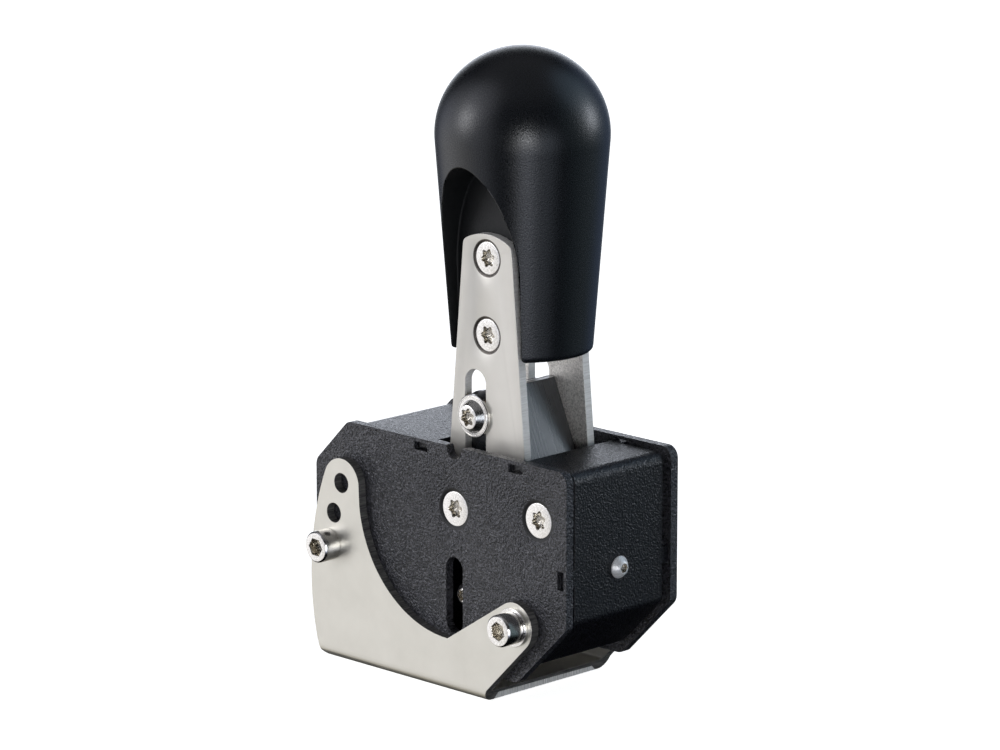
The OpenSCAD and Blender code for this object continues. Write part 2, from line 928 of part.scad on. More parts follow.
module sensor_board() {
    chip = [3, 4, 1.2];
    chip_in = 0.5;
    controller = [10, 10, 1.6];
    controller_in = 17;
    color("#1d5c35")
        difference() {
            translate([board_from, -board_w / 2, board_z])
                cube([board_l, board_w, board_t]);
            for (x = board_holes, s = [-1, 1])
                translate([board_from + x, s * board_hole_y, board_z - over])
                    cylinder(h = board_t + 2 * over, d = board_screw_d + pass, $fn = small_fn);
        }
    color("#1d1d1d") {
        translate([board_from + board_l - chip[0] - chip_in, -chip[1] / 2, board_z + board_t - fit])
            cube(chip);
        translate([board_from + controller_in, -controller[1] / 2, board_z + board_t - fit])
            cube(controller);
    }
}

module board_spacers() {
    color("silver")
        for (x = board_holes, s = [-1, 1])
            translate([board_from + x, s * board_hole_y, cover_floor])
                difference() {
                    cylinder(h = board_spacer_h, d = board_spacer_d, $fn = small_fn);
                    translate([0, 0, board_spacer_floor])
                        cylinder(h = board_spacer_h, d = board_screw_d + 2 * fit, $fn = small_fn);
                }
}

module board_screws() {
    reach = board_t + board_spacer_h - board_spacer_floor - tip_gap;
    color("#c8c8cc")
        for (x = board_holes, s = [-1, 1])
            translate([board_from + x, s * board_hole_y, board_z + board_t])
                button_screw(board_head_d, board_screw_d, reach);
}

// Rounded bar that stands for the outline of the data port
module port_outline(w, h) {
    square([w - h, h], center = true);
    for (s = [-1, 1])
        translate([s * (w - h) / 2, 0])
            circle(d = h, $fn = small_fn);
}

module data_port() {
    shell_l = 9;
    shell_t = 0.4;
    tongue_l = 3;
    tongue_t = 0.7;
    mouth = -cover_end - 0.2;
    color("silver")
        translate([0, 0, board_z + board_t + port_h / 2])
            difference() {
                along(mouth, mouth + shell_l)
                    port_outline(port_w, port_h);
                along(mouth - over, mouth + shell_l - tongue_l)
                    difference() {
                        port_outline(port_w - 2 * shell_t, port_h - 2 * shell_t);
                        square([port_w - port_h, tongue_t], center = true);
                    }
            }
}

// Yoke

// Distance of the web's outer face from the axle at a height above the axle
function web_x(rise) = web_shift + tan(web_lean) * (web_rise - rise);

// Everything inside the outline of the yoke's ears, over its full width
module yoke_block() {
    head = [web_x(web_rise) + over, web_rise];
    foot = [web_x(web_foot) + over, web_foot];
    across(yoke_w)
        translate(lever_pivot)
            polygon([
                [-clamp_ear_r, clamp_rise],
                [0, clamp_rise + clamp_ear_r],
                head - [yoke_t + 2 * over, 0],
                head,
                foot,
                touch(foot, [0, 0], hub_ear_r, 1),
                [0, 0],
                touch([-clamp_ear_r, clamp_rise], [0, 0], hub_ear_r, -1)
            ]);
    bar(clamp_at, 2 * clamp_ear_r, yoke_w);
    bar(lever_pivot, 2 * hub_ear_r, yoke_w);
}

// Bent sheet: two ears beside the detent arm and a leaning web behind them
module rocker() {
    color("#1b1c1f")
        difference() {
            intersection() {
                yoke_block();
                translate([pivot_x + web_shift, 0, pivot_z + web_rise])
                    rotate([0, -web_lean, 0])
                        rotate([0, 0, 90])
                            linear_extrude(3 * clamp_rise, center = true)
                                channel(yoke_out, 2 * clamp_rise, yoke_t, yoke_bend_r);
            }
            bar(clamp_at, large_d + 2 * pass, yoke_w + over);
            bar(lever_pivot, bush_d + 2 * fit, yoke_w + over);
            both_sides()
                near_at(lever_pivot + [0, arm_screw_rise], yoke_out)
                    sunk_hole(arm_head_d, small_d + 2 * pass, yoke_t);
        }
}

// Steel arm under the axle: hub and lug between the ears, slim blade between the magnets
module detent_arm() {
    half = yoke_in - fit;
    color("#8a8a8e")
        difference() {
            union() {
                across(2 * half) {
                    translate(lever_pivot)
                        circle(hub_r, $fn = small_fn);
                    translate(lever_pivot + [0, arm_screw_rise])
                        circle(arm_lug_r, $fn = small_fn);
                    translate(lever_pivot - [arm_lug_r, 0])
                        square([2 * arm_lug_r, arm_screw_rise]);
                }
                translate([pivot_x - blade_l / 2, -blade_w / 2, pivot_z - blade_drop])
                    cube([blade_l, blade_w, blade_drop]);
            }
            bar(lever_pivot, axle_d + 2 * pass, yoke_w + over);
            both_sides() {
                near_at(lever_pivot, yoke_out - bush_l)
                    cylinder(h = bush_l, d = bush_d + 2 * fit, $fn = small_fn);
                near_at(lever_pivot + [0, arm_screw_rise], half - arm_bore)
                    cylinder(h = arm_bore + over, d = small_d + 2 * fit, $fn = small_fn);
            }
            translate([pivot_x - blade_l / 2 - over, 0, sensor_z])
                rotate([0, 90, 0])
                    cylinder(h = magnet_small_t + over, d = magnet_small_d + 2 * fit, $fn = small_fn);
        }
}

module arm_screws() {
    color("#c8c8cc")
        both_sides()
            near_at(lever_pivot + [0, arm_screw_rise], yoke_out)
                sunk_screw(arm_head_d, small_d, yoke_t + arm_bore - tip_gap);
}

module pivot_bushes() {
    color("#b08d57")
        both_sides()
            near_at(lever_pivot, yoke_out - bush_l)
                difference() {
                    cylinder(h = bush_l - fit, d = bush_d, $fn = small_fn);
                    translate([0, 0, -over])
                        cylinder(h = bush_l + 2 * over, d = axle_d + 2 * run, $fn = small_fn);
                }
}

module clamp_rod() {
    color("silver")
        difference() {
            bar(clamp_at, clamp_rod_d, 2 * yoke_in);
            bar(clamp_at, large_d + 2 * fit, yoke_w);
        }
}

module guide_bushes() {
    color("#b08d57")
        both_sides()
            near_at(clamp_at, yoke_out)
                difference() {
                    cylinder(h = lever_t - 2 * fit, d = guide_bush_d, $fn = small_fn);
                    translate([0, 0, -over])
                        cylinder(h = lever_t + 2 * over, d = large_d + 2 * fit, $fn = small_fn);
                }
}

module height_clamp_screws() {
    head_r = 5.1;
    face_r = 3.8;
    head_h = 2.3;
    socket_w = 4.2;
    socket_deep = 2.4;
    tips_apart = 6;
    color("#d2d2d6")
        both_sides()
            near_at(clamp_at, lever_out) {
                difference() {
                    union() {
                        cylinder(h = flange_t, d = flange_d, $fn = small_fn);
                        translate([0, 0, flange_t - fit])
                            cylinder(h = head_h + fit, r1 = head_r, r2 = face_r, $fn = small_fn);
                    }
                    hex_socket(flange_t + head_h, socket_w, socket_deep);
                }
                shank(large_d, lever_out - tips_apart / 2);
            }
}

module sensor_magnet() {
    color("silver")
        translate([pivot_x - blade_l / 2, 0, sensor_z])
            rotate([0, 90, 0])
                cylinder(h = magnet_small_t, d = magnet_small_d, $fn = small_fn);
}

// Lever

// Half width of the lever plate at a height above its foot
function lever_half(h) = (lever_w_foot + (lever_w_top - lever_w_foot) * h / taper_h) / 2;

// Corner of the plate's top: middle of the small disc that touches the side and the top arc
function corner_middle() =
    let (k = lever_slope,
         a = lever_half(top_middle - lever_foot) - lever_corner_r * sqrt(1 + k * k),
         q = 1 + k * k,
         rise = (a * k + sqrt(a * a * k * k - q * (a * a - pow(lever_top_r - lever_corner_r, 2)))) / q)
    [a - k * rise, top_middle + rise];

module lever_outline() {
    reach = 2 * lever_corner_r;
    corner = corner_middle();
    side_way = unit([1, lever_slope]);
    top_way = unit(corner - [0, top_middle]);
    head = lever_half(lever_top - lever_foot);
    foot = lever_half(0);
    difference() {
        polygon([[-foot, lever_foot], [-head, lever_top], [head, lever_top], [foot, lever_foot]]);
        difference() {
            translate([-lever_w_foot, top_middle])
                square([2 * lever_w_foot, 2 * lever_top_r]);
            translate([0, top_middle])
                circle(lever_top_r, $fn = large_fn);
        }
        for (s = [0, 1])
            mirror([s, 0])
                translate(corner)
                    difference() {
                        polygon([[0, 0], side_way * reach, (side_way + top_way) * reach, top_way * reach]);
                        circle(lever_corner_r, $fn = small_fn);
                    }
    }
}

module lever_plate() {
    color("#b9babd")
        difference() {
            near_sheet(yoke_out, lever_t)
                difference() {
                    translate([lever_x, 0])
                        lever_outline();
                    translate([pivot_x, slot_top - slot_w / 2])
                        circle(d = slot_w, $fn = small_fn);
                    translate([pivot_x - slot_w / 2, lever_foot - over])
                        square([slot_w, slot_top - slot_w / 2 - lever_foot + over]);
                }
            for (z = [handle_screw_low, handle_screw_high])
                near_at([lever_x, z], lever_out)
                    sunk_hole(lever_head_d, large_d + 2 * pass, lever_t);
        }
}

module lever_plate_near() {
    lever_plate();
}

module lever_plate_far() {
    mirror([0, 1, 0])
        lever_plate();
}

// Arched pocket in the handle's side, its top a half ellipse
module pocket_outline() {
    steps = 32;
    rise = pocket_top - pocket_spring;
    polygon([
        [-pocket_foot, grip_bottom - over],
        [pocket_foot, grip_bottom - over],
        for (i = [0:steps]) [pocket_half * cos(180 * i / steps), pocket_spring + rise * sin(180 * i / steps)]
    ]);
}

module handle_profile() {
    rim = touch([grip_r, grip_bottom], [0, dome_z], dome_r, -1);
    top = dome_z + dome_r;
    side = (rim - [grip_r, grip_bottom]) / (rim[1] - grip_bottom);
    shoulder = rim + side * (top - rim[1]);
    difference() {
        polygon([[0, grip_bottom], [grip_r, grip_bottom], shoulder, [0, top]]);
        polygon([
            [grip_r - grip_chamfer, grip_bottom],
            [grip_r + over, grip_bottom - over],
            [grip_r, grip_bottom] + side * grip_chamfer
        ]);
        corner_cut([grip_r, grip_bottom], shoulder, [0, top], dome_r);
    }
}

module handle() {
    color("#1d1d1e")
        translate([lever_x, 0, 0])
            difference() {
                rotate_extrude($fn = large_fn)
                    handle_profile();
                both_sides()
                    near_sheet(yoke_out, 2 * dome_r)
                        pocket_outline();
                for (z = [handle_screw_low, handle_screw_high])
                    bar([0, z], insert_d + 2 * fit, yoke_w + over);
            }
}

module handle_screws() {
    color("#d2d2d6")
        both_sides()
            for (z = [handle_screw_low, handle_screw_high])
                near_at([lever_x, z], lever_out)
                    sunk_screw(lever_head_d, large_d, lever_t + sleeve_deep);
}

module handle_inserts() {
    color("#b5a642")
        for (z = [handle_screw_low, handle_screw_high])
            difference() {
                bar([lever_x, z], insert_d, yoke_w - 2 * fit);
                bar([lever_x, z], large_d + 2 * fit, yoke_w);
            }
}

base_bracket();
side_plate_near();
side_plate_far();
wrap_cover();
cover_spacer();
tilt_pivot_spacer();
tilt_lock_nuts();
lever_axle();
plate_screws();
tilt_pivot_screws();
tilt_pivot_washers();
tilt_lock_screws();
guide_bracket();
guide_bracket_screws();
stop_posts();
stop_buffers();
stop_screws();
sensor_board();
board_spacers();
board_screws();
data_port();
rocker();
detent_arm();
arm_screws();
pivot_bushes();
clamp_rod();
guide_bushes();
height_clamp_screws();
sensor_magnet();
lever_plate_near();
lever_plate_far();
handle();
handle_screws();
handle_inserts();
magnet_carriage();
carriage_magnets();
carriage_screws();
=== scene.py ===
import json
from math import atan2, cos, hypot, pi, radians, sin

import bmesh
import bpy
from mathutils import Matrix, Vector

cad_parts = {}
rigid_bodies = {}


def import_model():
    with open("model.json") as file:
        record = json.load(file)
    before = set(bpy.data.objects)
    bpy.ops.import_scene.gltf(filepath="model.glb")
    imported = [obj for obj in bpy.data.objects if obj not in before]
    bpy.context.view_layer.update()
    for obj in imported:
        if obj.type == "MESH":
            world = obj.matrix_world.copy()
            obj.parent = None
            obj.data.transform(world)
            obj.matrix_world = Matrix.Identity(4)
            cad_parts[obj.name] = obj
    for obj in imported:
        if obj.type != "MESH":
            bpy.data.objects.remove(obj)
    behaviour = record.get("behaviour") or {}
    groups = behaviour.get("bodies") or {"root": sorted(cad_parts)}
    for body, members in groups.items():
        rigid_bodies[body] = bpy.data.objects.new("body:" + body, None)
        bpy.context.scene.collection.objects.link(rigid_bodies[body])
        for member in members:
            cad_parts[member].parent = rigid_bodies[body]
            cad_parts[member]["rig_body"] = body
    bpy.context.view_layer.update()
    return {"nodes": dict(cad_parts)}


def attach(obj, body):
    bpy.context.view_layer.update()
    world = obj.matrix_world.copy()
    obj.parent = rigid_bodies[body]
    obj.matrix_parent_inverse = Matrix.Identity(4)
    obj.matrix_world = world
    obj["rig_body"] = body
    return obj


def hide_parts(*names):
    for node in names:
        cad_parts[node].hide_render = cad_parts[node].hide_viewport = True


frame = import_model()
mm = 0.001
print("frame loaded:", len(frame["nodes"]), "nodes")

# Camera, in metres, degrees and mm of lens, and the studio
cameraValues = {"place": (1.03057, -1.03179, 0.43146), "tilt": 76.98, "turn": 44.9, "lens": 175.41}
studio = {
    "floor": "#f6f6f5",
    "floorGlow": 1.0,  # a lit table: it stays white all round the object
    "floorSize": 14,
    # soft round lights far away: azimuth (from +X towards +Y) and elevation of the middle, angle from there
    # at which the light ends, angle within which it is full, and radiance
    "glows": {
        "leftPanel": (-132, 0, 58, 25, (0.65, 0.67, 0.75)),
        "leftBox": (-133, 16, 30, 12, (0.3, 0.3, 0.3)),
        "leftLamp": (-130, 14.5, 15, 5, (4.2, 4.2, 4.3)),
        "leftTable": (-150, -28, 40, 15, (0.27, 0.23, 0.12)),
        "farLeft": (-165, -15, 40, 15, (0.25, 0.27, 0.34)),
        "rightPanel": (50, 10, 50, 25, (0.12, 0.16, 0.18)),
        "rightBox": (57, 13, 28, 10, (0.5, 0.53, 0.56)),
        "rightLamp": (61, 10, 12, 5, (4.4, 4.6, 5)),
        "farRight": (95, 5, 35, 15, (0.12, 0.16, 0.25)),
        "backPanel": (135, 5, 28, 10, (0.78, 0.84, 0.91)),
        "backBox": (135, 3, 16, 6, (1.35, 1.4, 1.57)),
        "frontBox": (-42, -6, 20, 8, (1.9, 1.9, 1.9)),
        "frontLamp": (-40, 2.5, 9, 4, (7.2, 7.4, 7.8)),
        "frontLow": (-40, -17, 14, 6, (0.6, 0.7, 1)),
        "frontSide": (-15, -6, 22, 9, (0.7, 0.78, 0.92)),
        "overhead": (0, 90, 60, 20, (0.16, 0.16, 0.17)),
        "upperLeft": (-120, 38, 30, 12, (0.56, 0.57, 0.64)),
        "upperRight": (60, 38, 30, 12, (0.28, 0.4, 0.54)),
    },
}


def linearColour(code):
    channels = [int(code[i:i + 2], 16) / 255 for i in (1, 3, 5)]
    return [c / 12.92 if c <= 0.04045 else ((c + 0.055) / 1.055) ** 2.4 for c in channels] + [1]


def makeCamera(values):
    data = bpy.data.cameras.new("camera")
    data.lens = values["lens"]
    data.sensor_width = 36
    data.clip_start, data.clip_end = 0.05, 50
    camera = bpy.data.objects.new("camera", data)
    camera.location = values["place"]
    camera.rotation_euler = (radians(values["tilt"]), 0, radians(values["turn"]))
    bpy.context.scene.collection.objects.link(camera)
    bpy.context.scene.camera = camera


# ---- materials

# A node with its settings, the values of its unlinked inputs, and what its other inputs are linked from
def addNode(tree, kind, settings={}, values={}, links={}):
    node = tree.nodes.new(kind)
    for name, value in settings.items():
        setattr(node, name, value)
    for name, value in values.items():
        node.inputs[name].default_value = value
    for name, output in links.items():
        tree.links.new(output, node.inputs[name])
    return node


def newMaterial(name, constants):
    material = bpy.data.materials.new(name)
    material.use_nodes = True
    tree = material.node_tree
    shader = tree.nodes["Principled BSDF"]
    for socket, value in constants.items():
        shader.inputs[socket].default_value = value
    place = addNode(tree, "ShaderNodeTexCoord").outputs["Object"]
    return material, tree, shader, place


# Grain of a surface: a height pattern, given its grain width and its depth in mm
def addGrain(tree, place, grainMm, depthMm, detail=2, stretch=(1, 1, 1)):
    mapped = addNode(tree, "ShaderNodeMapping", values={"Scale": stretch}, links={"Vector": place})
    noise = addNode(tree, "ShaderNodeTexNoise", values={"Scale": 1 / (grainMm * mm), "Detail": detail},
                    links={"Vector": mapped.outputs["Vector"]}).outputs["Fac"]
    bump = addNode(tree, "ShaderNodeBump", values={"Distance": depthMm * mm}, links={"Height": noise})
    return noise, bump.outputs["Normal"]


# A value between low and high that follows a pattern, which mostly keeps within the two ends
def addSpread(tree, pattern, low, high, ends=(0.3, 0.7)):
    spread = addNode(tree, "ShaderNodeMapRange", links={"Value": pattern}, values={
        "From Min": ends[0], "From Max": ends[1], "To Min": low, "To Max": high})
    return spread.outputs["Result"]


# A colour between two that follows a pattern. Sockets 6 and 7 of a mix are its colours, output 2 its result
def addTint(tree, pattern, dark, light):
    tint = addNode(tree, "ShaderNodeMix", {"data_type": "RGBA"},
                   {6: linearColour(dark), 7: linearColour(light)}, {0: pattern})
    return tint.outputs[2]


# Textured polyester powder coat on steel: a black wrinkled skin whose short crests are painted pale, a
# painted highlight for the light its wrinkles catch
def makePowderCoat(name, ground, glintColour, level, depth):
    look = {"wrinkle": 0.68, "crestWidth": 0.1, "curl": 0.4, "roughness": (0.36, 0.23)}
    material, tree, shader, place = newMaterial(name, {"IOR": 1.5, "Specular IOR Level": level})
    noise = addNode(tree, "ShaderNodeTexNoise", links={"Vector": place}, values={
        "Scale": 1 / (look["wrinkle"] * mm), "Detail": 1, "Distortion": look["curl"]}).outputs["Fac"]
    fromMiddle = addNode(tree, "ShaderNodeMath", {"operation": "SUBTRACT"}, {1: 0.5}, {0: noise}).outputs[0]
    away = addNode(tree, "ShaderNodeMath", {"operation": "ABSOLUTE"}, links={0: fromMiddle}).outputs[0]
    # The crests run where the noise crosses its middle; their pale tint is a painted highlight, and they are
    # a little smoother
    crestGlint = addNode(tree, "ShaderNodeMapRange", {"interpolation_type": "SMOOTHSTEP"}, {
        "From Max": look["crestWidth"], "To Min": 1, "To Max": 0}, {"Value": away}).outputs["Result"]
    bump = addNode(tree, "ShaderNodeBump", values={"Distance": depth * mm}, links={"Height": noise})
    tree.links.new(addTint(tree, crestGlint, ground, glintColour), shader.inputs["Base Color"])
    tree.links.new(addSpread(tree, crestGlint, *look["roughness"], (0, 1)), shader.inputs["Roughness"])
    tree.links.new(bump.outputs["Normal"], shader.inputs["Normal"])
    return material


# Stainless steel sheet, laser cut and glass-bead blasted: pale, warm and evenly soft, with a faint cloudiness
def makeBlastedSteel(name, dark, light, roughness, metallic):
    # The real grit is under 0.1 mm, too fine to show. The ends are wide, as a cloud cut off shows its outline
    look = {"cloud": 9, "grit": 0.45, "depth": 0.0015, "gritShare": 0.12, "ends": (0.1, 0.9)}
    material, tree, shader, place = newMaterial(name, {"Metallic": metallic})
    cloud = addNode(tree, "ShaderNodeTexNoise", values={"Scale": 1 / (look["cloud"] * mm), "Detail": 3},
                    links={"Vector": place}).outputs["Fac"]
    grit, normal = addGrain(tree, place, look["grit"], look["depth"], 3)
    both = addNode(tree, "ShaderNodeMix", {"data_type": "FLOAT"}, {"Factor": look["gritShare"]},
                   {"A": cloud, "B": grit}).outputs[0]
    shade = addSpread(tree, both, 0, 1, look["ends"])
    tree.links.new(addTint(tree, shade, dark, light), shader.inputs["Base Color"])
    tree.links.new(addSpread(tree, cloud, *roughness, look["ends"]), shader.inputs["Roughness"])
    tree.links.new(normal, shader.inputs["Normal"])
    return material


# Glass-filled nylon, moulded in an eroded mould: blue-black with soft highlights that sparkle a little
def makeNylon(name, dark, light, roughness, level):
    look = {"grain": 0.45, "depth": 0.045}
    material, tree, shader, place = newMaterial(name, {"IOR": 1.52, "Specular IOR Level": level})
    grain, normal = addGrain(tree, place, look["grain"], look["depth"], 2)
    tree.links.new(addTint(tree, grain, dark, light), shader.inputs["Base Color"])
    tree.links.new(addSpread(tree, grain, *roughness), shader.inputs["Roughness"])
    tree.links.new(normal, shader.inputs["Normal"])
    return material


# Brushed steel sheet with a thin black dip coat: it mirrors softly, and the brush marks show as long streaks
def makeDipCoat():
    look = {"dark": "#17191c", "light": "#2b2e34", "streak": 0.55, "depth": 0.02, "roughness": (0.24, 0.36)}
    material, tree, shader, place = newMaterial("smoothDipCoat", {"IOR": 2})
    grain, normal = addGrain(tree, place, look["streak"], look["depth"], 3, stretch=(0.03, 1, 0.03))
    shade = addSpread(tree, grain, 0, 1)
    tree.links.new(addTint(tree, shade, look["dark"], look["light"]), shader.inputs["Base Color"])
    tree.links.new(addSpread(tree, grain, *look["roughness"]), shader.inputs["Roughness"])
    tree.links.new(normal, shader.inputs["Normal"])
    return material


# Laser-cut edge of stainless sheet: dull and pale, with fine striations across the sheet's thickness
def makeCutEdge(name, dark, light, stretch):
    look = {"striation": 0.4, "depth": 0.025, "roughness": (0.5, 0.65)}
    material, tree, shader, place = newMaterial(name, {"Metallic": 0.1})
    grain, normal = addGrain(tree, place, look["striation"], look["depth"], 2, stretch)
    tree.links.new(addTint(tree, addSpread(tree, grain, 0, 1), dark, light), shader.inputs["Base Color"])
    tree.links.new(addSpread(tree, grain, *look["roughness"]), shader.inputs["Roughness"])
    tree.links.new(normal, shader.inputs["Normal"])
    return material


# Turned or cold-headed metal: bright, with faint rings and streaks in its gloss
def makeTurnedMetal(name, dark, light, roughness, metallic=1, depth=0.004):
    material, tree, shader, place = newMaterial(name, {"Metallic": metallic})
    grain, normal = addGrain(tree, place, 0.5, depth, 2)
    tree.links.new(addTint(tree, addSpread(tree, grain, 0, 1), dark, light), shader.inputs["Base Color"])
    tree.links.new(addSpread(tree, grain, *roughness), shader.inputs["Roughness"])
    tree.links.new(normal, shader.inputs["Normal"])
    return material


# Plain plastics and rubber of the inner pieces, each with a fine moulded grain
def makeMouldedPlastic(name, dark, light, roughness, depth=0.01):
    material, tree, shader, place = newMaterial(name, {"IOR": 1.5})
    grain, normal = addGrain(tree, place, 0.5, depth, 2)
    tree.links.new(addTint(tree, grain, dark, light), shader.inputs["Base Color"])
    tree.links.new(addSpread(tree, grain, *roughness), shader.inputs["Roughness"])
    tree.links.new(normal, shader.inputs["Normal"])
    return material


powderCoat = makePowderCoat("texturedPowderCoat", "#09090b", "#515156", 0.56, 0.75)
# The cover gets a darker copy of the same powder coat: painted shade for its dim end faces
shadedCoverCoat = makePowderCoat("paintedShadeCoverCoat", "#050507", "#242429", 0.42, 0.3)
bracketSteel = makeBlastedSteel("blastedStainlessSheet", "#cecbc1", "#dedbd1", (0.32, 0.42), 0.85)
leverSteel = makeBlastedSteel("blastedStainlessPlate", "#d8d4ca", "#e4e0d7", (0.27, 0.33), 0.3)
# The lever plates' inner side gets a paler, more diffuse copy of the plate steel: painted light for the light
# bounced between the two plates
litInnerSteel = makeTurnedMetal("paintedLightInnerPlate", "#bbb7b0", "#f8f4ee", (0.3, 0.45), 0.35)
cutSteel = makeCutEdge("laserCutPlateEdge", "#dedbd5", "#faf8f4", (1, 0.06, 1))
# The bracket's cut edges get a dark copy of the cut steel: painted shade along its hollow and in its holes
shadedSheetEdge = makeCutEdge("paintedShadeSheetEdge", "#343332", "#75736f", (1, 0.06, 1))
cutFloorSteel = makeCutEdge("laserCutFloorEdge", "#a3a19d", "#f1eee9", (1, 1, 0.06))
# Darker steel for the lever plates' countersinks: painted shade round the handle screws
shadedSink = makeTurnedMetal("paintedShadeLeverSink", "#5a5651", "#77726c", (0.35, 0.5))
# Socket walls get a darker copy of the screw steel: painted shade in the deep sockets, with bumps for its
# glints
shadedSocketSteel = makeTurnedMetal("paintedShadeSocket", "#857e72", "#f0ebe0", (0.14, 0.3), depth=0.12)
# Near-black walls for the side plates' countersinks: painted shade round the plate screws
paintedShadeSink = makeTurnedMetal("paintedShadePlateSink", "#050505", "#0c0c0c", (0.5, 0.6), 0)
satinNylon = makeNylon("mouldedSatinNylon", "#0e1013", "#16191d", (0.24, 0.34), 0.5)
# A darker, rougher copy of the nylon for the handle's pockets: its darker colour is painted shade
shadedPocketNylon = makeNylon("paintedShadePocketNylon", "#08090a", "#0e1012", (0.55, 0.65), 0.4)
dipCoat = makeDipCoat()
# The end wall's screws get a near-white, partly diffuse copy of the screw steel: painted light on their heads
litEndSteel = makeTurnedMetal("paintedLightEndHead", "#f0eeea", "#ffffff", (0.35, 0.45), 0.35)
brightSteel = makeTurnedMetal("coldHeadedStainless", "#d8d5d0", "#f2f0ec", (0.17, 0.27))
greySteel = makeTurnedMetal("turnedSteel", "#8f8f92", "#a8a8ab", (0.26, 0.4))
zincSteel = makeTurnedMetal("zincPlatedSteel", "#b4b6b8", "#c6c8ca", (0.2, 0.34))
bronze = makeTurnedMetal("sinteredBronze", "#8d6c3e", "#ac8850", (0.36, 0.5))
brass = makeTurnedMetal("turnedBrass", "#b99a4c", "#cdb060", (0.22, 0.34))
nickelPlate = makeTurnedMetal("nickelPlatedSteel", "#bcbab4", "#cecbc5", (0.12, 0.2))
blackSteel = makeTurnedMetal("blackOxideSteel", "#1b1b1d", "#2a2a2d", (0.3, 0.42))
rubber = makeMouldedPlastic("mouldedRubber", "#101010", "#1a1a1a", (0.6, 0.75), 0.02)
acetal = makeMouldedPlastic("machinedAcetal", "#232325", "#2e2e31", (0.4, 0.52))
boardResin = makeMouldedPlastic("solderMaskedBoard", "#123f25", "#1a5230", (0.28, 0.4), 0.006)
print("materials made:", len(bpy.data.materials))


# ---- sheet metal and other pieces whose CAD shape is right: merged, with their cut edges eased

# Places across the sides, mm in X and Z
plateScrewPoints = [(7, 57.5), (42.5, 60.3)]
handleScrewPoints = [(12, 134.8), (12, 111)]

sheetEdges = {
    # CAD node: (piece's name, material, width of the eased edge in mm)
    "base_bracket": ("bracketSheet", bracketSteel, 0.3),
    "side_plate_near": ("sidePlateNear", powderCoat, 0.35),
    "side_plate_far": ("sidePlateFar", powderCoat, 0.35),
    "wrap_cover": ("wrapCoverSheet", shadedCoverCoat, 0.3),
    "lever_plate_near": ("leverPlateNear", leverSteel, 0.22),
    "lever_plate_far": ("leverPlateFar", leverSteel, 0.22),
    "rocker": ("yokeSheet", dipCoat, 0.25),
    "tilt_pivot_washers": ("pivotWashers", brightSteel, 0.15),
    "detent_arm": ("detentArm", greySteel, 0.25),
    "magnet_carriage": ("magnetCarriageBody", acetal, 0.25),
    "guide_bracket": ("guideSheet", blackSteel, 0.25),
}

sinkReach = 6.3  # faces of a countersink lie within this of its screw
floorBend = 4.1  # the bracket's bends end at this height
facing = {"flat": 0.95, "square": 0.9, "edge": 0.5, "none": 0.05}  # how squarely a face looks along an axis
mergeReach, flatAngle, sharpAngle = 0.003, 0.7, 35  # mm and degrees


def isFloorEnd(face):
    return abs(face.normal.x) > facing["square"] and face.calc_center_median().z < floorBend * mm


def isCutEdge(face):
    inFloor = abs(face.normal.x) < facing["none"] and face.calc_center_median().z < floorBend * mm
    return abs(face.normal.y) < facing["edge"] and not inFloor and not isFloorEnd(face)


def isSinkAt(points):
    def isSink(face):
        middle = face.calc_center_median() / mm
        near = any(hypot(middle.x - x, middle.z - z) < sinkReach for x, z in points)
        return near and abs(face.normal.y) < facing["flat"]
    return isSink


# The broad side of a plate that looks away from the object's middle, and the one that looks inwards
def isOutside(face):
    return abs(face.normal.y) > facing["flat"] and face.normal.y * face.calc_center_median().y > 0


def isInside(face):
    return abs(face.normal.y) > facing["square"] and face.normal.y * face.calc_center_median().y < 0


# The rim of each countersink is broken into a narrow bevel, which with the countersink's walls takes a darker
# material: painted shade as a dark ring round the screw
def breakRims(bm, points, width):
    isSink = isSinkAt(points)
    rims = [e for e in bm.edges if len(e.link_faces) == 2 and sum(map(isSink, e.link_faces)) == 1
            and any(map(isOutside, e.link_faces))]
    bmesh.ops.bevel(bm, geom=rims, offset=width * mm, segments=1, profile=0.5, affect="EDGES", material=-1)


countersinks = {
    # points, width of the broken rim
    "side_plate_near": (plateScrewPoints, 0.5), "side_plate_far": (plateScrewPoints, 0.5),
    "lever_plate_near": (handleScrewPoints, 0.25), "lever_plate_far": (handleScrewPoints, 0.25),
}
bracketTrim = {
    "armSide": -32.19, "armReach": 0.7, "armHeights": (54.6, 57.8), "armLean": 0.04,
    # each bend of the floor runs from inside to outside, and the flat floor's upper face lies at sheetTop
    "floorEnd": 22, "endReach": 3, "endLean": 0.44, "bendInside": 20.1, "bendOutside": 24.5, "sheetTop": 2.9,
}


# The arm's round end runs smoothly into the hollow, and the cut end of the floor goes round the bends
def trimBracket(bm, trim):
    low, high = trim["armHeights"]
    for v in bm.verts:
        x, y, z = v.co / mm
        inBend = z < floorBend and (abs(y) > trim["bendOutside"]
                                    or abs(y) > trim["bendInside"] and z < trim["sheetTop"])
        if abs(x - trim["armSide"]) < trim["armReach"] and low < z < high:
            v.co.x = (trim["armSide"] + (high - z) * trim["armLean"]) * mm
        elif inBend and x > trim["floorEnd"] - trim["endReach"]:
            v.co.x = max(x, trim["floorEnd"] + z * trim["endLean"]) * mm
    bm.normal_update()


